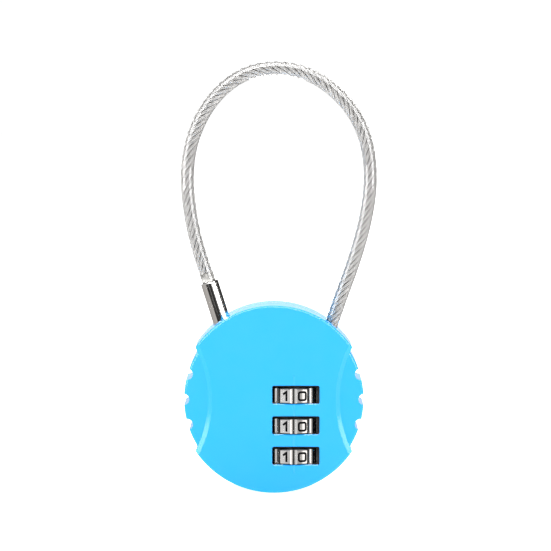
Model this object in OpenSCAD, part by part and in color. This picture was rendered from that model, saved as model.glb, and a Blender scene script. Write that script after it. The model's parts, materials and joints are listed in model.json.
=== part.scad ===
// Combination padlock with a flexible cable shackle.
// Millimetres. +Z is up, the front with the dials faces -Y, +X is to the right.
// The origin is the hang point: the inside of the shackle's crown.
// Inside the body, places are measured from the body's centre, hang_h below it.

/* [Body] */
// Radius of the raised centre panel
panel_r = 19.5; // [19.4:0.1:19.8]
// Radius of the two side grips
grip_r = 18.6; // [18.5:0.1:18.8]
// Thickness of the closed body, front to back
body_t = 13; // [13:0.1:13.4]
// Thickness of the front and rear walls
wall_t = 1.3; // [1.1:0.1:1.3]
// How far the grips lie below the panel
grip_step = 0.5; // [0.3:0.1:0.6]

/* [Dials] */
// Radius of a number dial
dial_r = 5.8; // [5.7:0.05:5.85]
// Thickness of a number dial
dial_t = 3; // [2.9:0.05:3]
// How far a dial stands out of the front face
dial_proud = 0.35; // [0.2:0.05:0.4]
// Distance of the dials' axis to the right of the centre
dial_x = 4.1; // [4.1:0.1:4.3]
// Height of the top dial's middle
top_dial_z = 0.76; // [0.7:0.02:0.8]
// Distance from one dial to the next
dial_pitch = 6.35; // [6.35:0.01:6.4]
// Width of a dial window
window_w = 9.8; // [9.4:0.1:9.9]
// Height of a dial window
window_h = 3.75; // [3.65:0.05:3.8]

/* [Shackle] */
// Outer diameter of the cable's clear jacket
cable_d = 2.85; // [2.7:0.05:2.9]
// Diameter of the wire rope inside the jacket
rope_d = 1.9; // [1.8:0.1:2]
// Diameter of the plug on the cable's free end
plug_d = 3.73; // [3.7:0.01:3.74]
// Lean of the plug from upright, in degrees
plug_lean = 17.6; // [17:0.1:18]
// Lean of the cable's fixed end from upright, in degrees
anchor_lean = 19; // [18:0.5:20]
// Height of the hang point over the body's centre
hang_h = 67; // [66.5:0.5:67]

/* [Mechanism] */
// Travel of the spindle and of the lock slider
stroke = 2; // [2:0.05:2.1]
// Travel of the reset button
reset_travel = 1.1; // [1.05:0.05:1.1]

/* [Hidden] */
$fn = 64;
eps = 0.01;
gap = 0.1;
digits = 10;
digit_step = 360 / digits;

half_t = body_t / 2;
inner_t = half_t - wall_t;
grip_h = half_t - grip_step;
edge_r = 0.55;
seam = 0.15;
cavity_r = 17.6;
cavity_x = 15.6;
root = 0.4;

// Arcs that divide the panel from the grips, as circles beside the body
arc_x = 37.7;
arc_r = 24.5;
arc_bevel = 0.9;
notch_r = 1.15;
notch_reach = 18.65;
notch_step = 16.3;

// Index ridge over and between the windows
ridge_w = 0.44;
ridge_out = 0.14;
ridge_z = [-15.3, 5];

// Dials, their axis and their windows
dial_y = dial_r - half_t - dial_proud;
dial_zs = [for (i = [0:2]) top_dial_z - i * dial_pitch];
window_lift = 0.27;
window_zs = [for (z = dial_zs) z + window_lift];
window_x = 4.55;
window_corner = 0.3;
window_edge = 0.28;
scallop_r = 1.3;
scallop_deep = 0.3;
dial_edge = 0.15;
key_zone_top = -0.5;
dial_bore_r = 3.26;
dial_wide_r = 3.65;
groove_r = 3.62;
groove_w = 0.7;

// Clutch hubs and the spindle that runs through them
hub_r = 3.2;
hub_in_r = 2.6;
hub_half = 3.15;
web = [-0.2, 0.8];
gate_w = 1.1;
key_r = 3.55;
key_w = 0.6;
key_span = [key_zone_top + gap - reset_travel, key_zone_top - gap];
shaft_r = 1.5;
running = 0.06;
fin_r = 2.4;
fin_w = 0.9;
fin_span = [web[1] + 0.15, web[0] + stroke - 0.05];
spindle_foot = -12.6;
flange_z = [11.4, 12.2];
flange_r = 2.3;
cone_top = 14.2;
cone_tip_r = 0.3;

// Lock frame
frame_half_w = 7.3;
frame_y = [-4.9, 4.4];
frame_z = [-15, 7.4];
frame_trim_r = 17.2;
frame_pad_x = [-3.6, -2.2];
frame_pad_z = [-15, 5];
frame_ear_w = 2.4;
deck_z = 6.2;
dial_room = 0.25;
hub_bore_r = 3.3;
tower_x = [-1.7, 1.1];
tower_y = [-3.5, 2.5];
tower_top = 15.7;
pad_gap = 0.27;

// Lock slider
bar_y = [-2.3, 1.3];
bar_z = [12.3, 14.7];
slide_play = 0.1;
fork_web_t = 0.7;
fork_back = tower_x[0] - stroke - fork_web_t - 2 * gap;
fork_tip = -6.3;
prong_y = [1.95, 2.85];
prong_z = [12, 13.9];

// Plug and its socket
plug_at = [-10.9, 15.8];
plug_out = 8.5;
plug_in = 9.6;
plug_bore = 6;
plug_play = 0.08;
groove_depth_at = 4.6;
clip_groove_r = 1.2;
clip_groove_w = 0.9;
clip_wire_r = 0.33;
clip_leg = 4.6;
clip_bend_at = 1;
clip_slot_w = 1;
clip_slot_x = [-3.3, 3];
clip_slot_y = 2.9;
plug_nose = 1.2;
plug_lip = 0.15;
plug_block_x = [-2.9, 2.7];
plug_block_y = [-10.8, 1];
socket_deep = 10.1;

// Fixed end of the cable
anchor_at = [12.2, 15.7];
anchor_r = 1.9;
anchor_span = [-7.2, -2];
anchor_block_x = [-2.2, 2.2];
anchor_block_y = [-7.6, 1];
anchor_wall = 0.4;
crimp = 0.01;

// Case pins: bosses in both shells, two of them through the frame's ears
pin_r = 0.79;
pin_half = 4.5;
pin_hole_r = 0.8;
shell_pins = [[-13.2, -6.5, 1.8], [-3.9, 16.4, 1.3]];
frame_pins = [[13.6, -4, 1.8], [-5.6, -13.2, 1.8]];
ear_half = 1.2;

// Reset button
cup_z = [-16.7, -15.2];
cup_r = 3.1;
cup_bore_r = 1.8;
cup_floor = 0.5;
cup_pocket_r = 3.35;
cup_pocket_z = -16.85;
button_r = 0.9;
button_foot = -18.5;

// Detent spring
leaf_t = 0.2;
leaf_y = inner_t - 0.25;
leaf_spine_x = [-3.4, -2.4];
leaf_below = 2;
leaf_above = 3;
finger_x = [-3, 1];
finger_h = 2;
bump_r = 0.9;
bump_set = 0.3;

// Coil springs: mean radius, wire radius, turns, lowest and highest point
spindle_coil = [1.95, 0.18, 4, 7.45, 11.35];
hub_coil = [2.87, 0.17, 3, 3.9, 6.15];

// Cable route from plug to fixed end, X and Z from the body's centre
route_mid = [
    [-16.4, 32.5], [-17.9, 41], [-18.2, 49], [-16.1, 57], [-11.4, 64], [-4.4, 68.5], [4.6, 68.5],
    [11.6, 65], [17.6, 58.5], [20.1, 50.5], [20.1, 42.5], [18.6, 34.5], [16.1, 26.5]
];
plug_dir = [-sin(plug_lean), cos(plug_lean)];
anchor_dir = [sin(anchor_lean), cos(anchor_lean)];
route = concat(
    [for (t = [0.5, 5, 9.5]) plug_at + t * plug_dir],
    route_mid,
    [for (t = [6, 1.5, -3]) anchor_at + t * anchor_dir]
);
route_steps = 2;

// Point of a uniform cubic B-spline, u from 0 to 1 in the span that starts at p[i]
function spline(p, i, u) =
    (pow(1 - u, 3) * p[i] + (3 * pow(u, 3) - 6 * u * u + 4) * p[i + 1]
    + (-3 * pow(u, 3) + 3 * u * u + 3 * u + 1) * p[i + 2] + pow(u, 3) * p[i + 3]) / 6;

// The cable's centreline, with a straight stretch inside the plug and the anchor
cable_line = concat(
    [plug_at + (plug_out - plug_bore + gap) * plug_dir],
    [for (i = [0:len(route) - 4], k = [0:route_steps - 1]) spline(route, i, k / route_steps)],
    [spline(route, len(route) - 4, 1)],
    [anchor_at + (anchor_span[0] + anchor_wall + gap) * anchor_dir]
);

// Height and angle along a coil spring whose end turns lie flat
function coil_rise(s) = (1 - cos(180 * s)) / 2;

function coil_points(c, turns, steps) = [
    for (k = [0:steps])
        let (s = k / steps, a = 360 * turns * s)
            [c[0] * cos(a), c[0] * sin(a), c[3] + c[1] + coil_rise(s) * (c[4] - c[3] - 2 * c[1])]
];

function unit(v) = v / norm(v);

// Direction of a path at point i
function tangent(p, i) = unit(p[min(i + 1, len(p) - 1)] - p[max(i - 1, 0)]);

// Ring of points round a path at point i; side is a direction square to the path
function ring(p, i, r, sides, side) =
    let (t = tangent(p, i), b = unit(cross(side, t)), n = cross(t, b))
        [for (j = [0:sides - 1]) p[i] - r * (cos(360 * j / sides) * b - sin(360 * j / sides) * n)];

// Two triangles across the quadrilateral a, b, c, d
function facets(a, b, c, d) = [[a, b, c], [a, c, d]];

// Rod or tube swept along a path, as one closed polyhedron
module sweep(path, sides_at, r, r_in = 0, sides = 8) {
    n = len(path);
    last = n - 1;
    skins = r_in > 0 ? [r, r_in] : [r];
    points = [for (s = skins, i = [0:last]) each ring(path, i, s, sides, sides_at[i])];
    function at(i, j, k) = (k * n + i) * sides + j % sides;
    outside = [for (i = [0:n - 2], j = [0:sides - 1]) each
        facets(at(i, j, 0), at(i, j + 1, 0), at(i + 1, j + 1, 0), at(i + 1, j, 0))];
    inside = [for (i = [0:n - 2], j = [0:sides - 1]) each
        facets(at(i, j, 1), at(i + 1, j, 1), at(i + 1, j + 1, 1), at(i, j + 1, 1))];
    tube_ends = [for (j = [0:sides - 1]) each concat(
        facets(at(0, j, 0), at(0, j, 1), at(0, j + 1, 1), at(0, j + 1, 0)),
        facets(at(last, j, 0), at(last, j + 1, 0), at(last, j + 1, 1), at(last, j, 1)))];
    rod_ends = [
        [for (j = [sides - 1:-1:0]) at(0, j, 0)],
        [for (j = [0:sides - 1]) at(last, j, 0)]
    ];
    polyhedron(points, r_in > 0 ? concat(outside, inside, tube_ends) : concat(outside, rod_ends));
}

// Puts what is modelled about the body's centre into the part's frame
module at_body() translate([0, 0, -hang_h]) children();

// Turns a sketch of the front face, with depth towards the viewer, upright
module upright() rotate([90, 0, 0]) children();

// Box between two values on each axis
module block(x, y, z) translate([x[0], y[0], z[0]]) cube([x[1] - x[0], y[1] - y[0], z[1] - z[0]]);

// Rectangle with round corners, centred
module round_rect(w, h, r) {
    square([w - 2 * r, h], center = true);
    square([w, h - 2 * r], center = true);
    for (x = [-1, 1], y = [-1, 1]) translate([x * (w / 2 - r), y * (h / 2 - r)]) circle(r);
}

// Local frames on the face sketch: Y runs out along the plug or the fixed cable end
module plug_sketch() translate(plug_at) rotate([0, 0, plug_lean]) children();
module anchor_sketch() translate(anchor_at) rotate([0, 0, -anchor_lean]) children();

// Cylinder along the local Y of a sketch, between two stations
module along(r, y0, y1)
    translate([0, y0, 0]) rotate([-90, 0, 0]) rotate(45) cylinder(r = r, h = y1 - y0);

// Disc with a rounded rim on the outer face and a fine chamfer at the seam
module shell_disc(r, h) rotate_extrude() {
    polygon([[0, 0], [r - seam, 0], [r, seam], [r, h - edge_r], [0, h - edge_r]]);
    square([r - edge_r, h]);
    translate([r - edge_r, h - edge_r]) circle(edge_r);
}

// Outside of one half of the body: panel, grips and finger notches
module shell_outside() difference() {
    union() {
        shell_disc(grip_r, grip_h);
        difference() {
            shell_disc(panel_r, half_t);
            for (side = [-1, 1]) translate([side * arc_x, 0, 0]) {
                translate([0, 0, -eps]) cylinder(r = arc_r - arc_bevel / 2, h = grip_h + 2 * eps);
                translate([0, 0, grip_h - eps]) cylinder(
                    r1 = arc_r - arc_bevel / 2, r2 = arc_r + arc_bevel / 2, h = grip_step + 2 * eps);
            }
        }
    }
    for (side = [0, 180], a = [-notch_step, 0, notch_step]) rotate(side + a)
        translate([notch_reach, 0, -1]) cylinder(r = notch_r, h = half_t + 2);
}

// Solid places inside a shell: plug socket, cable anchorage and pin bosses
module shell_inside() {
    plug_sketch() block(plug_block_x, plug_block_y, [-1, half_t]);
    anchor_sketch() block(anchor_block_x, anchor_block_y, [-1, half_t]);
    for (p = shell_pins) translate([p[0], p[1], -1]) cylinder(r = p[2], h = half_t + 1);
    for (p = frame_pins) translate([p[0], p[1], ear_half + gap]) cylinder(r = p[2], h = half_t - ear_half);
}

// Round chamber with two flat sides, from a height to the wall's inner face, and grow larger
module chamber(from, grow) intersection() {
    translate([0, 0, from]) cylinder(r = cavity_r + grow, h = inner_t + grow - from);
    translate([-cavity_x - grow, -panel_r, -2]) cube([2 * (cavity_x + grow), 2 * panel_r, half_t + 2]);
}

// One half of the body, as a sketch of its face with depth along Z
module half_shell() difference() {
    union() {
        difference() {
            shell_outside();
            chamber(-1, 0);
        }
        intersection() {
            shell_inside();
            chamber(0, root);
        }
    }
    plug_sketch() {
        along(plug_d / 2 + plug_play, -socket_deep, 3);
        translate([0, -groove_depth_at, 0])
            block(clip_slot_x, [-clip_slot_w / 2, clip_slot_w / 2], [-1, clip_slot_y]);
    }
    anchor_sketch() {
        along(cable_d / 2 + running, anchor_span[1] - 0.5, 3);
        along(anchor_r + 0.03, anchor_span[0] - gap, anchor_span[1] + gap / 2);
    }
    for (p = concat(shell_pins, frame_pins)) translate([p[0], p[1], -1])
        cylinder(r = pin_hole_r, h = pin_half + 1 + gap);
}

// Room for the reset cup where it dips into the rim
module cup_pocket() translate([dial_x, dial_y, cup_pocket_z]) cylinder(r = cup_pocket_r, h = 5);

module front_shell() color("deepskyblue") at_body() difference() {
    union() {
        upright() half_shell();
        translate([dial_x, -half_t, ridge_z[0]]) linear_extrude(height = ridge_z[1] - ridge_z[0])
            polygon([[-ridge_w / 2, 0], [0, -ridge_out], [ridge_w / 2, 0], [0, wall_t / 2]]);
    }
    for (z = window_zs) upright() translate([window_x, z, inner_t - 1])
        linear_extrude(height = wall_t + 2) round_rect(window_w, window_h, window_corner);
    for (z = window_zs) upright() translate([window_x, z, half_t]) {
        for (y = [-1, 1]) translate([0, y * window_h / 2, 0]) rotate([45, 0, 0])
            cube([window_w - 2 * window_corner, window_edge, window_edge], center = true);
        for (x = [-1, 1]) translate([x * window_w / 2, 0, 0]) rotate([0, 45, 0])
            cube([window_edge, window_h - 2 * window_corner, window_edge], center = true);
    }
    cup_pocket();
    translate([dial_x, dial_y, -panel_r - 1]) cylinder(r = button_r + 0.08, h = 5);
}

module rear_shell() color("deepskyblue") at_body() difference() {
    upright() mirror([0, 0, 1]) half_shell();
    cup_pocket();
}

module case_pins() color("silver") at_body() upright()
    for (p = concat(shell_pins, frame_pins)) translate([p[0], p[1], -pin_half])
        cylinder(r = pin_r, h = 2 * pin_half);

module lock_frame() color("gray") at_body() difference() {
    union() {
        intersection() {
            union() {
                block([dial_x - frame_half_w, dial_x + frame_half_w], frame_y, frame_z);
                translate([dial_x, 0, 0]) block(frame_pad_x, [0, inner_t - pad_gap], frame_pad_z);
            }
            upright() translate([0, 0, -half_t]) cylinder(r = frame_trim_r, h = body_t);
        }
        block(tower_x, tower_y, [deck_z, tower_top]);
        upright() for (p = frame_pins) {
            translate([p[0], p[1], -ear_half]) cylinder(r = p[2] - gap, h = 2 * ear_half);
            translate([(p[0] + dial_x + sign(p[0]) * frame_half_w) / 2, p[1], 0])
                cube([abs(p[0] - dial_x) - frame_half_w + 1, frame_ear_w, 2 * ear_half], center = true);
        }
    }
    translate([dial_x, dial_y, 0]) {
        for (z = dial_zs) translate([0, 0, z - dial_t / 2 - dial_room])
            cylinder(r = dial_r + dial_room, h = dial_t + 2 * dial_room);
        translate([0, 0, -20]) cylinder(r = hub_bore_r, h = 20 + deck_z);
        cylinder(r = shaft_r + running, h = 9);
    }
    block([tower_x[0] - 1, tower_x[1] + 1], [bar_y[0] - slide_play, bar_y[1] + slide_play],
        [bar_z[0] - slide_play, bar_z[1] + slide_play]);
    upright() for (p = frame_pins) translate([p[0], p[1], -half_t]) cylinder(r = pin_hole_r, h = body_t);
}

module detent_spring() color("lightsteelblue") at_body() translate([dial_x, leaf_y, 0]) {
    block(leaf_spine_x, [0, leaf_t], [dial_zs[2] - leaf_below, dial_zs[0] + leaf_above]);
    for (z = dial_zs) translate([0, 0, z - finger_h / 2]) {
        block(finger_x, [0, leaf_t], [0, finger_h]);
        intersection() {
            translate([0, leaf_t + bump_set, 0]) cylinder(r = bump_r, h = finger_h);
            block([-2 * bump_r, 2 * bump_r], [-bump_r, leaf_t], [-1, finger_h + 1]);
        }
    }
}

// Number dial, about its own axis, with a scallop between each pair of digits
module dial() difference() {
    rotate_extrude() polygon([
        [dial_bore_r, -dial_t / 2], [dial_r - dial_edge, -dial_t / 2], [dial_r, -dial_t / 2 + dial_edge],
        [dial_r, dial_t / 2 - dial_edge], [dial_r - dial_edge, dial_t / 2], [dial_wide_r, dial_t / 2],
        [dial_wide_r, key_zone_top], [dial_bore_r, key_zone_top]
    ]);
    for (k = [0:digits - 1]) {
        rotate(-90 + k * digit_step) translate([dial_r + scallop_r - scallop_deep, 0, -dial_t])
            cylinder(r = scallop_r, h = 2 * dial_t);
        rotate(k * digit_step) translate([0, -groove_w / 2, -dial_t])
            cube([groove_r, groove_w, dial_t + key_zone_top]);
    }
}

// Clutch hub, about its own axis: two keys outside, a web with one gate inside
module hub() {
    difference() {
        translate([0, 0, -hub_half]) cylinder(r = hub_r, h = 2 * hub_half);
        translate([0, 0, -hub_half - 1]) cylinder(r = hub_in_r, h = hub_half + 1 + web[0]);
        translate([0, 0, web[1]]) cylinder(r = hub_in_r, h = hub_half);
        cylinder(r = shaft_r + running, h = 2 * hub_half, center = true);
        block([-gate_w / 2, gate_w / 2], [-hub_in_r, 0], [-1, 2]);
    }
    for (a = [0, 180]) rotate(a) block([hub_r - gap, key_r], [-key_w / 2, key_w / 2], key_span);
}

module place_dial(i) at_body() translate([dial_x, dial_y, dial_zs[i]]) children();

module dial_top() color("silver") place_dial(0) dial();
module dial_middle() color("silver") place_dial(1) dial();
module dial_bottom() color("silver") place_dial(2) dial();

module hub_top() color("dimgray") place_dial(0) hub();
module hub_middle() color("dimgray") place_dial(1) hub();
module hub_bottom() color("dimgray") place_dial(2) hub();

module spindle() color("dimgray") at_body() translate([dial_x, dial_y, 0]) {
    translate([0, 0, spindle_foot]) cylinder(r = shaft_r, h = flange_z[1] - spindle_foot);
    translate([0, 0, flange_z[0]]) cylinder(r = flange_r, h = flange_z[1] - flange_z[0]);
    translate([0, 0, flange_z[1]]) cylinder(r1 = flange_r, r2 = cone_tip_r, h = cone_top - flange_z[1]);
    for (z = dial_zs) block([-fin_w / 2, fin_w / 2], [-fin_r, 0], [z + fin_span[0], z + fin_span[1]]);
}

// Compression spring round the spindle, from its list of dimensions
module coil_spring(c) at_body() translate([dial_x, dial_y, 0]) {
    path = coil_points(c, c[2], 14 * c[2]);
    sweep(path, [for (p = path) unit([p[0], p[1], 0])], c[1], sides = 6);
}

module spindle_spring() color("lightsteelblue") coil_spring(spindle_coil);
module hub_spring() color("lightsteelblue") coil_spring(hub_coil);

// The sloping nose pushes the spindle's cone down; the fork stops the clip's legs from spreading
module lock_slider() color("goldenrod") at_body() {
    nose_x = dial_x - flange_r + bar_z[0] - flange_z[1] - gap;
    tip_x = nose_x + bar_z[1] - bar_z[0];
    translate([0, bar_y[1], 0]) upright() linear_extrude(height = bar_y[1] - bar_y[0])
        polygon([[fork_back, bar_z[0]], [nose_x, bar_z[0]], [tip_x, bar_z[1]], [fork_back, bar_z[1]]]);
    block([fork_back, fork_back + fork_web_t], [-prong_y[1], prong_y[1]], prong_z);
    for (y = [prong_y[0], -prong_y[1]])
        block([fork_tip, fork_back + fork_web_t], [y, y + prong_y[1] - prong_y[0]], prong_z);
}

module reset_button() color("silver") at_body() translate([dial_x, dial_y, 0]) difference() {
    union() {
        translate([0, 0, cup_z[0]]) cylinder(r = cup_r, h = cup_z[1] - cup_z[0]);
        translate([0, 0, button_foot]) cylinder(r = button_r, h = cup_z[0] - button_foot + 0.5);
    }
    translate([0, 0, cup_z[0] + cup_floor]) cylinder(r = cup_bore_r, h = 5);
}

module plug_ferrule() color("gainsboro") at_body() upright() plug_sketch() difference() {
    rotate([-90, 0, 0]) rotate_extrude() {
        r = plug_d / 2;
        low = -groove_depth_at - clip_groove_w / 2;
        high = -groove_depth_at + clip_groove_w / 2;
        polygon([
            [0, -plug_in], [r - 1, -plug_in], [r, -plug_in + plug_nose],
            [r, low], [clip_groove_r, low], [clip_groove_r, high], [r, high],
            [r, plug_out - plug_lip], [r - plug_lip, plug_out], [0, plug_out]
        ]);
    }
    along(cable_d / 2 + crimp, plug_out - plug_bore, plug_out + 1);
}

// Spring wire hairpin that straddles the plug's groove
module plug_clip() color("lightsteelblue") at_body() upright() plug_sketch()
translate([0, -groove_depth_at, 0]) {
    leg_z = clip_groove_r + clip_wire_r + 2 * eps;
    for (side = [-1, 1]) translate([-clip_bend_at, 0, side * leg_z]) rotate([0, 90, 0])
        cylinder(r = clip_wire_r, h = clip_leg + clip_bend_at, $fn = 32);
    translate([-clip_bend_at, 0, 0]) rotate([-90, 0, 0]) rotate([0, 0, 90]) rotate_extrude(angle = 180)
        translate([leg_z, 0]) circle(clip_wire_r, $fn = 32);
}

// The cable lies in the plane Y = 0
cable_path = [for (p = cable_line) [p[0], 0, p[1]]];
cable_sides = [for (p = cable_line) [0, 1, 0]];

module cable_core() color("darkgray") at_body() sweep(cable_path, cable_sides, rope_d / 2);
module cable_jacket() color("white", 0.4) at_body() sweep(cable_path, cable_sides, cable_d / 2, rope_d / 2);

module anchor_ferrule() color("silver") at_body() upright() anchor_sketch() difference() {
    along(anchor_r, anchor_span[0], anchor_span[1]);
    along(cable_d / 2 + crimp, anchor_span[0] + anchor_wall, anchor_span[1] + 1);
}

front_shell();
rear_shell();
case_pins();
lock_frame();
detent_spring();
dial_top();
dial_middle();
dial_bottom();
hub_top();
hub_middle();
hub_bottom();
spindle();
spindle_spring();
hub_spring();
lock_slider();
reset_button();
plug_ferrule();
plug_clip();
cable_core();
cable_jacket();
anchor_ferrule();
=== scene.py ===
import json
import math

import bpy
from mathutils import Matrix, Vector


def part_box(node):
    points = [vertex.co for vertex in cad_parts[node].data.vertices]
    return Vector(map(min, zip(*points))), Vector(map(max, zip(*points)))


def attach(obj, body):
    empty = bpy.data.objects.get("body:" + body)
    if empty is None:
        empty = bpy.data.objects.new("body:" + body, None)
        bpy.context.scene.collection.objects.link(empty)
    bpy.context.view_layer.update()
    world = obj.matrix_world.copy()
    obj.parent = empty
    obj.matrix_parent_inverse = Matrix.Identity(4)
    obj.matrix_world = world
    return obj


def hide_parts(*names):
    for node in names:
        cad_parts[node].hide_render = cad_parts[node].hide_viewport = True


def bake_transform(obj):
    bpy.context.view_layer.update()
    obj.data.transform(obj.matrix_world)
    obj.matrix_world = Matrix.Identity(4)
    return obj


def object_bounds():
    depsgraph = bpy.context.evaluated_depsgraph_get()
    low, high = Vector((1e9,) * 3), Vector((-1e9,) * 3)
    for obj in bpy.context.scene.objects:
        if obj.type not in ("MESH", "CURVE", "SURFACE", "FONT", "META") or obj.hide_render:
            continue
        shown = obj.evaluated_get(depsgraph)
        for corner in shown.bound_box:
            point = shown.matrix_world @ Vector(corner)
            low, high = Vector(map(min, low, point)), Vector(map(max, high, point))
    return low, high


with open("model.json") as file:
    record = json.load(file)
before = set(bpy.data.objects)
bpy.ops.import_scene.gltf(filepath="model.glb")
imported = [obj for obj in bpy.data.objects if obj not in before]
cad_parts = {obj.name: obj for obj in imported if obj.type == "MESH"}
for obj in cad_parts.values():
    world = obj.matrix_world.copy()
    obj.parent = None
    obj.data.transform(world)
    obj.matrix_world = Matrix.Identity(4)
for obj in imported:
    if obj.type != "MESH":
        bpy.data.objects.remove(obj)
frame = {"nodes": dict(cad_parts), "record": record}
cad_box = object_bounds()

# A cable combination padlock. Metres, +Z up, the front with the dials faces -Y.
# The frame's origin is the inside of the shackle's crown, HANG above the body's centre.
HANG = 0.067
NODES = frame["nodes"]

# ---------------------------------------------------------------- camera

CAMERA_DISTANCE = 0.5
CAMERA_ELEVATION = math.radians(4.36)
CAMERA_TARGET = Vector((0.00034, 0, 0.02526 - HANG))
LENS = 156.7


def make_camera():
    back = Vector((0, -math.cos(CAMERA_ELEVATION), math.sin(CAMERA_ELEVATION)))
    camera = bpy.data.objects.new("camera", bpy.data.cameras.new("camera"))
    camera.data.lens = LENS
    camera.data.clip_start = 0.01
    camera.location = CAMERA_TARGET + back * CAMERA_DISTANCE
    camera.rotation_euler = (-back).to_track_quat("-Z", "Y").to_euler()
    bpy.context.collection.objects.link(camera)
    bpy.context.scene.camera = camera


make_camera()

# ---------------------------------------------------------------- mesh tools


def add_mesh(name, vertices, faces, smooth=True):
    mesh = bpy.data.meshes.new(name)
    mesh.from_pydata(vertices, [], faces)
    mesh.update()
    if smooth:
        mesh.shade_smooth()
    piece = bpy.data.objects.new(name, mesh)
    bpy.context.collection.objects.link(piece)
    return piece


def skin(rings, first=0):
    """Faces of a closed tube through rings of equal size, whose first vertex has index first."""
    size = len(rings[0])
    faces = []
    for i in range(len(rings) - 1):
        for j in range(size):
            k = (j + 1) % size
            a, b = first + i * size, first + (i + 1) * size
            faces.append((a + j, a + k, b + k, b + j))
    last = first + (len(rings) - 1) * size
    faces.append(tuple(first + j for j in reversed(range(size))))
    faces.append(tuple(last + j for j in range(size)))
    return faces


# ---------------------------------------------------------------- the cable's route
# The same points as the CAD cable: X and Z from the body's centre, a uniform cubic B-spline.

JACKET_D = 0.00285
ROPE_D = 0.0019
PLUG_AT = Vector((-0.0109, 0.0158))
PLUG_LEAN = math.radians(17.6)
PLUG_DIR = Vector((-math.sin(PLUG_LEAN), math.cos(PLUG_LEAN)))
PLUG_OUT = 0.0085
PLUG_BORE_FLOOR = 0.0026
ANCHOR_AT = Vector((0.0122, 0.0157))
ANCHOR_LEAN = math.radians(19)
ANCHOR_DIR = Vector((math.sin(ANCHOR_LEAN), math.cos(ANCHOR_LEAN)))
ANCHOR_BORE_FLOOR = -0.0067
ROUTE_MID = [
    (-0.0164, 0.0325), (-0.0179, 0.041), (-0.0182, 0.049), (-0.0161, 0.057), (-0.0114, 0.064),
    (-0.0044, 0.0685), (0.0046, 0.0685), (0.0116, 0.065), (0.0176, 0.0585), (0.0201, 0.0505),
    (0.0201, 0.0425), (0.0186, 0.0345), (0.0161, 0.0265),
]
ROUTE = (
    [PLUG_AT + t * PLUG_DIR for t in (0.0005, 0.005, 0.0095)]
    + [Vector(p) for p in ROUTE_MID]
    + [ANCHOR_AT + t * ANCHOR_DIR for t in (0.006, 0.0015, -0.003)]
)


def spline(p, i, u):
    """Point of a uniform cubic B-spline in the span that starts at p[i], u from 0 to 1."""
    return (
        (1 - u) ** 3 * p[i]
        + (3 * u**3 - 6 * u**2 + 4) * p[i + 1]
        + (-3 * u**3 + 3 * u**2 + 3 * u + 1) * p[i + 2]
        + u**3 * p[i + 3]
    ) / 6


def in_frame(p):
    return Vector((p[0], 0, p[1] - HANG))


def cable_line(steps):
    """The centreline from the bottom of the plug's bore to the bottom of the fixed ferrule's."""
    spans = range(len(ROUTE) - 3)
    line = [PLUG_AT + PLUG_BORE_FLOOR * PLUG_DIR]
    line += [spline(ROUTE, i, k / steps) for i in spans for k in range(steps)]
    line += [spline(ROUTE, len(ROUTE) - 4, 1), ANCHOR_AT + ANCHOR_BORE_FLOOR * ANCHOR_DIR]
    return [in_frame(p) for p in line]


def spaced(line, step):
    """Points on the line about step apart, and their distances along it."""
    ends = [0.0]
    for a, b in zip(line, line[1:]):
        ends.append(ends[-1] + (b - a).length)
    count = round(ends[-1] / step)
    points, where, i = [], [], 0
    for n in range(count + 1):
        s = ends[-1] * n / count
        while i < len(line) - 2 and ends[i + 1] < s:
            i += 1
        points.append(line[i].lerp(line[i + 1], (s - ends[i]) / (ends[i + 1] - ends[i])))
        where.append(s)
    return points, where


def tangents(points):
    last = len(points) - 1
    chords = [points[min(i + 1, last)] - points[max(i - 1, 0)] for i in range(last + 1)]
    return [chord.normalized() for chord in chords]


# The route lies in one plane, and SIDE is square to it
SIDE = Vector((0, 1, 0))
ROUTE_LINE = cable_line(steps=30)

# ---------------------------------------------------------------- the clear jacket

JACKET_SIDES = 40
JACKET_STEP = 0.0008


def ring(centre, u, v, radius, sides):
    angles = [2 * math.pi / sides * j for j in range(sides)]
    return [centre + radius * (math.cos(a) * u + math.sin(a) * v) for a in angles]


def tube_rings(points, radius, sides):
    return [ring(p, SIDE.cross(t), SIDE, radius, sides) for p, t in zip(points, tangents(points))]


def add_tube(name, rings):
    return add_mesh(name, [v for r in rings for v in r], skin(rings))


def cross_over(piece):
    """Bakes the placement into the mesh of the cable, which runs between the body, where it is
    fixed, and the plug.
    """
    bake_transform(piece)


jacket_points, _ = spaced(ROUTE_LINE, JACKET_STEP)
jacket = add_tube("clear_jacket", tube_rings(jacket_points, JACKET_D / 2, JACKET_SIDES))
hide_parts("cable_jacket")
cross_over(jacket)

# ---------------------------------------------------------------- the wire rope
# Six strands round a core strand, right-hand lay, each strand with six wires outside.

ROPE_LAY = 0.01
WIRE_LAY = 0.014
STRANDS = 6
WIRES = 6
POINTS_PER_WIRE = 4
CORE_SIDES = 12
STRAND_R = ROPE_D / 6
WIRE_R = STRAND_R / 3
ROPE_STEP = 0.0004


def strand_radius(angle):
    """Outline of a strand: the circles of its outer wires."""
    pitch = 2 * math.pi / WIRES
    off = (angle + pitch / 2) % pitch - pitch / 2
    aside = 2 * WIRE_R * math.sin(off)
    return 2 * WIRE_R * math.cos(off) + math.sqrt(max(0, WIRE_R**2 - aside**2))


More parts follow.
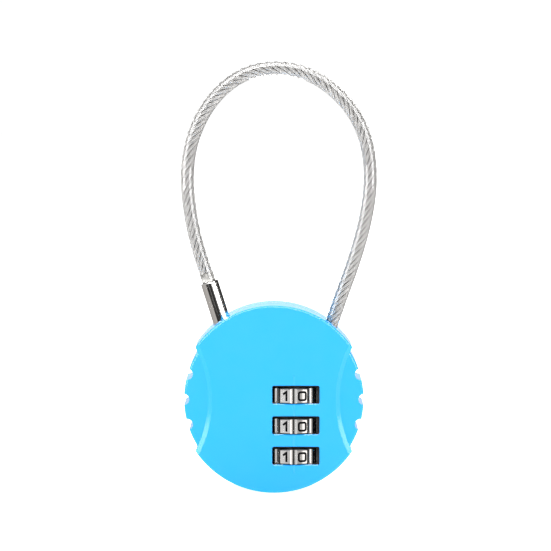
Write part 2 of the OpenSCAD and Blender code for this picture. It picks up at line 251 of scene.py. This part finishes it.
def strand_rings(points, where, start):
    """Outlines of a strand that winds round the rope's core and twists on itself."""
    centres, outward = [], []
    for p, t, s in zip(points, tangents(points), where):
        angle = start + 2 * math.pi * s / ROPE_LAY
        out = math.cos(angle) * SIDE.cross(t) + math.sin(angle) * SIDE
        centres.append(p + 2 * STRAND_R * out)
        outward.append(out)
    rings = []
    count = WIRES * POINTS_PER_WIRE
    for c, t, out, s in zip(centres, tangents(centres), outward, where):
        across = t.cross(out).normalized()
        up = across.cross(t)
        twist = 2 * math.pi * s / WIRE_LAY
        outline = []
        for j in range(count):
            a = 2 * math.pi * j / count
            spoke = math.cos(a + twist) * up + math.sin(a + twist) * across
            outline.append(c + strand_radius(a) * spoke)
        rings.append(outline)
    return rings


def wire_rope():
    points, where = spaced(ROUTE_LINE, ROPE_STEP)
    strands = [strand_rings(points, where, 2 * math.pi * k / STRANDS) for k in range(STRANDS)]
    core = tube_rings(points, STRAND_R, CORE_SIDES)
    vertices, faces = [], []
    for rings in strands + [core]:
        faces += skin(rings, len(vertices))
        vertices += [v for r in rings for v in r]
    return add_mesh("wire_rope", vertices, faces)


rope = wire_rope()
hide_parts("cable_core")
cross_over(rope)

# Swaged sleeve on the rope's end, seen through the jacket just above the plug
SLEEVE_LENGTH = 0.002
SLEEVE_R = ROPE_D / 2 + 0.00004
SLEEVE_SINK = 0.002
SLEEVE_CHAMFER = (0.0001, 0.00008)
SLEEVE_SIDES = 48


def swaged_sleeve():
    end = PLUG_OUT + SLEEVE_LENGTH
    stations = [
        (PLUG_OUT - SLEEVE_SINK, SLEEVE_R),
        (end - SLEEVE_CHAMFER[0], SLEEVE_R),
        (end, SLEEVE_R - SLEEVE_CHAMFER[1]),
    ]
    across = SIDE.cross(in_frame(PLUG_AT + PLUG_DIR) - in_frame(PLUG_AT))
    rings = [
        ring(in_frame(PLUG_AT + t * PLUG_DIR), across, SIDE, r, SLEEVE_SIDES) for t, r in stations
    ]
    return add_tube("swaged_sleeve", rings)


sleeve = swaged_sleeve()
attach(sleeve, "plug")

CABLE_LENGTH = sum((b - a).length for a, b in zip(ROUTE_LINE, ROUTE_LINE[1:]))
[tuple(p) for p in reversed(jacket_points)]

# ---------------------------------------------------------------- digits on the dials
# Ten on each dial, rising to the left; strokes are in digit heights until they are placed.

ROWS = ("top", "middle", "bottom")
DIAL_AXIS = Vector((0.0041, -0.00105))
DIAL_R = 0.0058
DIGIT_H = 0.00165
DIGIT_STEP = math.radians(36)
ZERO_AT = math.radians(-90 + 18)
INK_W = 0.00043
INK_UP = 0.000012
INK_DOWN = 0.00004
HALF_W = 0.46
CORNER = 0.22


def arc(x, y, r, start, end, steps=6):
    """Points on an arc in digit heights, angles in degrees from the right."""
    angles = [math.radians(start + (end - start) * k / steps) for k in range(steps + 1)]
    return [(x + r * math.cos(a), y + r * math.sin(a)) for a in angles]


def box_arcs(left, right, low, high, r, corners):
    """Rounded corners of a box, taken in order: 0 is the upper right, then anticlockwise."""
    centres = [
        (right - r, high - r), (left + r, high - r), (left + r, low + r), (right - r, low + r),
    ]
    return [p for c in corners for p in arc(*centres[c % 4], r, 90 * c, 90 * c + 90)]


def digit_strokes():
    """Each digit's strokes as (points, closed), with x from the middle and y from -0.5 to 0.5."""
    w, r = HALF_W, CORNER
    return {
        0: [(box_arcs(-w, w, -0.5, 0.5, r, [0, 1, 2, 3]), True)],
        1: [([(-0.26, 0.2), (0.18, 0.56), (0.18, -0.62)], False)],
        2: [(arc(0, 0.5 - w, w, 165, -35) + [(-w, -0.5), (w, -0.5)], False)],
        3: [(arc(0, 0.25, 0.25, 150, -90) + arc(0, -0.23, 0.27, 90, -150), False)],
        4: [([(0.12, -0.62), (0.12, 0.5), (-w, -0.22), (w, -0.22)], False)],
        5: [([(w - 0.04, 0.5), (-w + 0.06, 0.5), (-w + 0.02, 0.08)]
             + arc(0, -0.18, 0.32, 130, -145), False)],
        6: [([(0.2, 0.5)] + arc(0.05, -0.18, 0.4, 140, 190, 3)
             + arc(0, -0.18, 0.32, 190, 520, 14), False)],
        7: [([(-w, 0.5), (w, 0.5), (-0.08, -0.62)], False)],
        8: [(arc(0, 0.25, 0.25, -90, 270, 14), True), (arc(0, -0.23, 0.27, 90, 450, 14), True)],
        9: [([(-0.2, -0.5)] + arc(-0.05, 0.18, 0.4, -40, 10, 3)
             + arc(0, 0.18, 0.32, 10, 340, 14), False)],
    }


def refined(points, closed, longest=0.08):
    """The same line with no step longer than longest, so that it can lie on the round dial."""
    ends = list(zip(points, points[1:] + points[:1] if closed else points[1:]))
    out = []
    for a, b in ends:
        a, b = Vector(a), Vector(b)
        steps = max(1, math.ceil((b - a).length / longest))
        out += [a.lerp(b, k / steps) for k in range(steps)]
    return out if closed else out + [Vector(points[-1])]


def ribbon(points, closed, half):
    """Left and right edges of a stroke of even width, with mitred corners."""
    n = len(points)
    edges = []
    for i, p in enumerate(points):
        before = points[i - 1] if closed or i > 0 else None
        after = points[(i + 1) % n] if closed or i < n - 1 else None
        d1 = (p - before).normalized() if before is not None else (after - p).normalized()
        d2 = (after - p).normalized() if after is not None else d1
        normal = Vector((-d1.y - d2.y, d1.x + d2.x)).normalized()
        reach = half / max(0.5, normal.dot(Vector((-d1.y, d1.x))))
        edges.append((p + reach * normal, p - reach * normal))
    return edges


def add_stroke(points, closed, place, vertices, faces):
    """Adds a thin closed solid for one stroke; place puts a digit's point on the dial."""
    edges = ribbon(refined(points, closed), closed, INK_W / DIGIT_H / 2)
    first = len(vertices)
    for left, right in edges:
        for edge, up in ((left, -INK_DOWN), (left, INK_UP), (right, INK_UP), (right, -INK_DOWN)):
            vertices.append(place(edge, up))
    n = len(edges)
    for i in range(n if closed else n - 1):
        a, b = first + 4 * i, first + 4 * ((i + 1) % n)
        for j in range(4):
            k = (j + 1) % 4
            faces.append((a + j, b + j, b + k, a + k))
    if not closed:
        last = first + 4 * (n - 1)
        faces.append((first, first + 1, first + 2, first + 3))
        faces.append((last + 3, last + 2, last + 1, last))


def digit_ring(name, body, z):
    vertices, faces = [], []
    for digit, strokes in digit_strokes().items():
        middle = ZERO_AT - digit * DIGIT_STEP

        def place(p, up):
            angle = middle + p.x * DIGIT_H / DIAL_R
            r = DIAL_R + up
            x = DIAL_AXIS.x + r * math.cos(angle)
            y = DIAL_AXIS.y + r * math.sin(angle)
            return Vector((x, y, z + p.y * DIGIT_H))

        for points, closed in strokes:
            add_stroke(points, closed, place, vertices, faces)
    ink = add_mesh(name, vertices, faces, smooth=False)
    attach(ink, body)
    return ink


digit_rings = []
for row in ROWS:
    low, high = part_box(f"dial_{row}")
    digit_rings.append(digit_ring(f"digits_{row}", f"dial_{row}", (low.z + high.z) / 2))

# ---------------------------------------------------------------- materials


class Material:
    """A Principled material with short ways to add nodes."""

    def __init__(self, name, color, roughness, metallic=0.0, **inputs):
        self.material = bpy.data.materials.new(name)
        self.material.use_nodes = True
        self.tree = self.material.node_tree
        self.shader = self.tree.nodes["Principled BSDF"]
        self.shader.inputs["Base Color"].default_value = (*color, 1)
        self.shader.inputs["Roughness"].default_value = roughness
        self.shader.inputs["Metallic"].default_value = metallic
        for key, value in inputs.items():
            self.shader.inputs[key.replace("_", " ")].default_value = value
        self.coords = self.add("ShaderNodeTexCoord").outputs["Object"]

    def add(self, kind, **values):
        node = self.tree.nodes.new(kind)
        for key, value in values.items():
            if hasattr(node, key):
                setattr(node, key, value)
            else:
                node.inputs[key.replace("_", " ")].default_value = value
        return node

    def link(self, output, target):
        self.tree.links.new(output, target)

    def noise(self, scale, stretch=(1, 1, 1), detail=3.0):
        """Noise whose grains are 1/scale metres, drawn out where stretch is small."""
        mapping = self.add("ShaderNodeMapping")
        mapping.inputs["Scale"].default_value = stretch
        self.link(self.coords, mapping.inputs["Vector"])
        texture = self.add("ShaderNodeTexNoise", Scale=scale, Detail=detail)
        self.link(mapping.outputs["Vector"], texture.inputs["Vector"])
        return texture.outputs["Fac"]

    def spread(self, value, low, high):
        """Maps noise, most of which lies between 0.3 and 0.7, to low...high."""
        node = self.add("ShaderNodeMapRange")
        node.inputs["From Min"].default_value = 0.3
        node.inputs["From Max"].default_value = 0.7
        node.inputs["To Min"].default_value = low
        node.inputs["To Max"].default_value = high
        self.link(value, node.inputs["Value"])
        return node.outputs["Result"]

    def vary_roughness(self, value, low, high):
        self.link(self.spread(value, low, high), self.shader.inputs["Roughness"])

    def vary_color(self, value, one, other):
        mix = self.add("ShaderNodeMix", data_type="RGBA")
        colors = [s for s in mix.inputs if s.type == "RGBA"]
        colors[0].default_value = (*one, 1)
        colors[1].default_value = (*other, 1)
        self.link(self.spread(value, 0, 1), mix.inputs["Factor"])
        mixed = [s for s in mix.outputs if s.type == "RGBA"]
        self.link(mixed[0], self.shader.inputs["Base Color"])

    def bump(self, value, depth):
        node = self.add("ShaderNodeBump")
        node.inputs["Strength"].default_value = 1.0
        node.inputs["Distance"].default_value = depth
        self.link(value, node.inputs["Height"])
        self.link(node.outputs["Normal"], self.shader.inputs["Normal"])


def body_blue():
    m = Material("body_blue", (0.035, 0.42, 0.93), 0.16, Specular_IOR_Level=0.3)
    m.vary_color(m.noise(60, detail=2), (0.033, 0.417, 0.925), (0.037, 0.423, 0.935))
    m.vary_roughness(m.noise(350), 0.12, 0.2)
    m.bump(m.noise(900, detail=2), 0.000012)
    return m.material


def dial_metal():
    m = Material("dial_metal", (0.74, 0.73, 0.72), 0.09, metallic=1.0)
    turned = m.noise(400, stretch=(0.3, 0.3, 40), detail=4)
    m.vary_color(m.noise(700), (0.72, 0.71, 0.7), (0.76, 0.75, 0.74))
    m.vary_roughness(turned, 0.07, 0.11)
    m.bump(turned, 0.0000002)
    return m.material


def polished_steel():
    m = Material("polished_steel", (0.72, 0.71, 0.69), 0.07, metallic=1.0)
    m.vary_roughness(m.noise(500), 0.05, 0.12)
    m.bump(m.noise(1500, stretch=(1, 1, 0.1)), 0.000002)
    return m.material


def wire_metal():
    m = Material("wire_rope", (0.62, 0.61, 0.6), 0.45, metallic=1.0)
    m.vary_color(m.noise(900), (0.56, 0.55, 0.54), (0.68, 0.67, 0.66))
    m.vary_roughness(m.noise(1600), 0.38, 0.55)
    m.bump(m.noise(6000), 0.000004)
    return m.material


def clear_jacket():
    m = Material("clear_jacket", (0.985, 0.985, 0.98), 0.02, Transmission_Weight=1.0, IOR=1.5)
    m.vary_roughness(m.noise(300), 0.01, 0.035)
    m.bump(m.noise(250, detail=2), 0.00001)
    # The jacket casts hardly any shadow, so the lamps reach the rope
    let_through = m.add("ShaderNodeBsdfTransparent")
    let_through.inputs["Color"].default_value = (0.94, 0.94, 0.94, 1)
    mix = m.add("ShaderNodeMixShader")
    m.link(m.add("ShaderNodeLightPath").outputs["Is Shadow Ray"], mix.inputs["Fac"])
    m.link(m.shader.outputs["BSDF"], mix.inputs[1])
    m.link(let_through.outputs["BSDF"], mix.inputs[2])
    m.link(mix.outputs["Shader"], m.tree.nodes["Material Output"].inputs["Surface"])
    return m.material


def steel():
    m = Material("steel", (0.6, 0.59, 0.57), 0.32, metallic=1.0)
    m.vary_color(m.noise(800), (0.52, 0.51, 0.49), (0.64, 0.63, 0.61))
    m.vary_roughness(m.noise(500), 0.26, 0.4)
    m.bump(m.noise(3000), 0.000003)
    return m.material


def spring_steel():
    m = Material("spring_steel", (0.42, 0.43, 0.45), 0.3, metallic=1.0)
    m.vary_roughness(m.noise(900), 0.22, 0.4)
    m.bump(m.noise(4000), 0.000003)
    return m.material


def brass():
    m = Material("brass", (0.6, 0.42, 0.17), 0.3, metallic=1.0)
    m.vary_color(m.noise(500), (0.52, 0.35, 0.13), (0.64, 0.46, 0.2))
    m.vary_roughness(m.noise(400, stretch=(0.3, 0.3, 30)), 0.22, 0.4)
    m.bump(m.noise(400, stretch=(0.3, 0.3, 30)), 0.000003)
    return m.material


# Near-black, far darker than bare zinc: painted shade for the window walls and dial ends, which
# the parts whose slot is zinc share
def zinc():
    m = Material("zinc", (0.05, 0.05, 0.052), 0.5)
    m.vary_color(m.noise(900), (0.02, 0.02, 0.021), (0.04, 0.04, 0.041))
    m.vary_roughness(m.noise(700), 0.45, 0.65)
    m.bump(m.noise(2500), 0.00001)
    return m.material


def digit_ink():
    m = Material("digit_ink", (0.004, 0.004, 0.005), 0.6, Specular_IOR_Level=0.0)
    m.vary_roughness(m.noise(2500), 0.5, 0.7)
    m.bump(m.noise(5000), 0.000003)
    return m.material


FINISHES = {
    "body_blue": body_blue(),
    "dial_metal": dial_metal(),
    "polished_steel": polished_steel(),
    "wire_rope": wire_metal(),
    "clear_jacket": clear_jacket(),
    "steel": steel(),
    "spring_steel": spring_steel(),
    "brass": brass(),
    "zinc": zinc(),
    "digit_ink": digit_ink(),
}


# The three windows lie in this box, X and Z from the body's centre, behind the painted front
WINDOWS_X = 0.00455
WINDOWS_Z = -0.00532
WINDOWS_HALF_W = 0.005
WINDOWS_HALF_H = 0.0084
PAINTED_HALF_T = 0.00625


def dress(piece, finish):
    piece.data.materials.clear()
    piece.data.materials.append(FINISHES[finish])


def dress_some(piece, finish, chosen):
    """Gives a second finish to the faces that are chosen."""
    piece.data.materials.append(FINISHES[finish])
    for face in piece.data.polygons:
        face.material_index = int(chosen(face))


# Picks the front shell's faces that get painted shade: the window walls behind the painted front
def in_windows_painted_shade(face):
    place = front.matrix_world @ face.center
    in_width = abs(place.x - WINDOWS_X) < WINDOWS_HALF_W
    in_height = abs(place.z + HANG - WINDOWS_Z) < WINDOWS_HALF_H
    return in_width and in_height and place.y > -PAINTED_HALF_T


# Picks the dials' ends and chamfers, which get painted shade
def dial_ends_painted_shade(face):
    return abs(face.normal.z) > 0.5


for part in frame["record"]["subparts"]:
    dress(NODES[part["node"]], part["material_slot"])
# Painted shade: the windows' inner walls and the dials' ends take the near-black zinc finish,
# standing in for the shade in these recesses
front = NODES["front_shell"]
dress_some(front, "zinc", in_windows_painted_shade)
for row in ROWS:
    dress_some(NODES[f"dial_{row}"], "zinc", dial_ends_painted_shade)
dress(jacket, "clear_jacket")
dress(rope, "wire_rope")
dress(sleeve, "steel")
for ink in digit_rings:
    dress(ink, "digit_ink")

# ---------------------------------------------------------------- studio


def floor():
    """A plain pale sheet, so evenly lit that it meets the background without a line."""
    half = 4
    z = cad_box[0].z
    corners = [(-half, -half, z), (half, -half, z), (half, half, z), (-half, half, z)]
    plane = add_mesh("floor", corners, [(0, 1, 2, 3)])
    m = Material("floor", (0.6, 0.6, 0.6), 0.9, Specular_IOR_Level=0.0, Emission_Strength=0.95)
    m.shader.inputs["Emission Color"].default_value = (1, 1, 1, 1)
    m.material.cycles.emission_sampling = "NONE"
    m.vary_color(m.noise(3), (0.595, 0.595, 0.595), (0.605, 0.605, 0.605))
    plane.data.materials.append(m.material)
    plane.visible_glossy = False


def area_light(name, place, size, power):
    """A soft round lamp that points at the object and doesn't show in reflections."""
    target = Vector((0, 0, -0.05))
    light = bpy.data.objects.new(name, bpy.data.lights.new(name, "AREA"))
    light.data.shape = "DISK"
    light.data.size = size
    light.data.energy = power
    light.location = place
    light.rotation_euler = (target - Vector(place)).to_track_quat("-Z", "Y").to_euler()
    light.visible_glossy = False
    light.visible_camera = False
    bpy.context.collection.objects.link(light)


def light_tent():
    """An arch of diffusing cloth over the object that shows only as reflections."""
    radius, steps, brightness = 0.4, 48, 11
    # Degrees along the arch from its right foot, then its two edges, from the camera's axis
    edges = [(0, 28, 68), (90, 40, 90), (180, 39, 80)]

    def between(angle, column):
        for a, b in zip(edges, edges[1:]):
            if angle <= b[0]:
                return a[column] + (b[column] - a[column]) * (angle - a[0]) / (b[0] - a[0])

    vertices = []
    for k in range(steps + 1):
        angle = 180 * k / steps
        x = radius * math.cos(math.radians(angle))
        z = radius * math.sin(math.radians(angle)) - HANG
        for column in (1, 2):
            y = -radius / math.tan(math.radians(between(angle, column)))
            vertices.append((x, y, z))
    faces = [(2 * k, 2 * k + 1, 2 * k + 3, 2 * k + 2) for k in range(steps)]
    tent = add_mesh("light_tent", vertices, faces)
    m = Material("light_tent", (0, 0, 0), 1)
    m.shader.inputs["Emission Color"].default_value = (1, 1, 1, 1)
    m.shader.inputs["Emission Strength"].default_value = brightness
    m.material.cycles.emission_sampling = "NONE"
    tent.data.materials.append(m.material)
    tent.visible_camera = False
    tent.visible_diffuse = False
    tent.visible_transmission = False
    tent.visible_shadow = False


def surroundings():
    """White to the camera and matt surfaces; gloss and the cable under its jacket see a studio."""
    world = bpy.data.worlds.new("studio")
    world.cycles.sampling_method = "NONE"
    bpy.context.scene.world = world
    world.use_nodes = True
    nodes, links = world.node_tree.nodes, world.node_tree.links
    nodes.clear()

    def math_node(operation, a, b):
        node = nodes.new("ShaderNodeMath")
        node.operation = operation
        for value, target in zip((a, b), node.inputs):
            if isinstance(value, (int, float)):
                target.default_value = value
            else:
                links.new(value, target)
        return node.outputs["Value"]

    def blend(factor, a, b):
        node = nodes.new("ShaderNodeMixRGB")
        for value, target in zip((factor, a, b), node.inputs):
            if isinstance(value, tuple):
                target.default_value = value
            else:
                links.new(value, target)
        return node.outputs["Color"]

    direction = nodes.new("ShaderNodeSeparateXYZ")
    links.new(nodes.new("ShaderNodeTexCoord").outputs["Generated"], direction.inputs[0])
    x, y, z = direction.outputs

    # Walls round the object: degrees from the camera, to the right positive, and brightness
    turn = math_node("ARCTAN2", x, math_node("MULTIPLY", y, -1))
    around = math_node("ADD", math_node("DIVIDE", turn, 2 * math.pi), 0.5)
    brightest = 3

    def walls(stops, tint):
        ramp = nodes.new("ShaderNodeValToRGB")
        links.new(around, ramp.inputs["Fac"])
        elements = ramp.color_ramp.elements
        while len(elements) < len(stops):
            elements.new(0.5)
        for element, (angle, value) in zip(elements, stops):
            element.position = (angle + 180) / 360
            element.color = (*(value / brightest * t for t in tint), 1)
        return ramp.outputs["Color"]

    right = [(12, 0.04), (18, 0.5), (33, 0.5), (40, 1.6)]
    high_left = [(-180, 0.95), (-170, 0.95), (-164, 0.4), (-60, 0.9), (-18, 0.85), (-12, 0.04)]
    high_right = [(60, 1.6), (66, 0.06), (164, 0.06), (170, 0.95)]
    high = walls(high_left + right + high_right, (1, 1, 1))
    low_left = [(-180, 0.4), (-60, 0.6), (-54, 0.66), (-46, 0.04)]
    low_right = [(105, 1.6), (112, 0.06), (165, 0.06), (175, 0.4)]
    low = walls(low_left + right + low_right, (1, 0.96, 0.93))
    above = nodes.new("ShaderNodeMapRange")
    above.interpolation_type = "SMOOTHSTEP"
    above.inputs["From Min"].default_value, above.inputs["From Max"].default_value = -0.15, -0.138
    links.new(math_node("SUBTRACT", z, math_node("MULTIPLY", x, 0.05)), above.inputs["Value"])
    gloss = nodes.new("ShaderNodeVectorMath")
    gloss.operation = "SCALE"
    gloss.inputs["Scale"].default_value = brightest
    links.new(blend(above.outputs["Result"], low, high), gloss.inputs[0])

    # Through the jacket: brighter to the right and below, darker behind, which draws its edges
    side = math_node("MULTIPLY", x, 0.2)
    through = math_node("ADD", math_node("SUBTRACT", side, math_node("MULTIPLY", z, 0.3)), 1.02)
    behind = nodes.new("ShaderNodeMapRange")
    for key, value in (("From Min", -0.3), ("From Max", 0.4), ("To Min", 1), ("To Max", 0.65)):
        behind.inputs[key].default_value = value
    links.new(y, behind.inputs["Value"])
    through = math_node("MULTIPLY", through, behind.outputs["Result"])

    white = (1.02, 1.02, 1.02, 1)
    rays = nodes.new("ShaderNodeLightPath")
    seen = blend(rays.outputs["Is Glossy Ray"], white, gloss.outputs["Vector"])
    seen = blend(rays.outputs["Is Transmission Ray"], seen, through)
    background = nodes.new("ShaderNodeBackground")
    output = nodes.new("ShaderNodeOutputWorld")
    links.new(seen, background.inputs["Color"])
    links.new(background.outputs["Background"], output.inputs["Surface"])


floor()
light_tent()
surroundings()
area_light("key", place=(-0.5, -0.9, 0.7), size=0.6, power=2)
area_light("top", place=(0, 0.5, 1), size=0.9, power=16)
bpy.context.scene.view_settings.view_transform = "Standard"
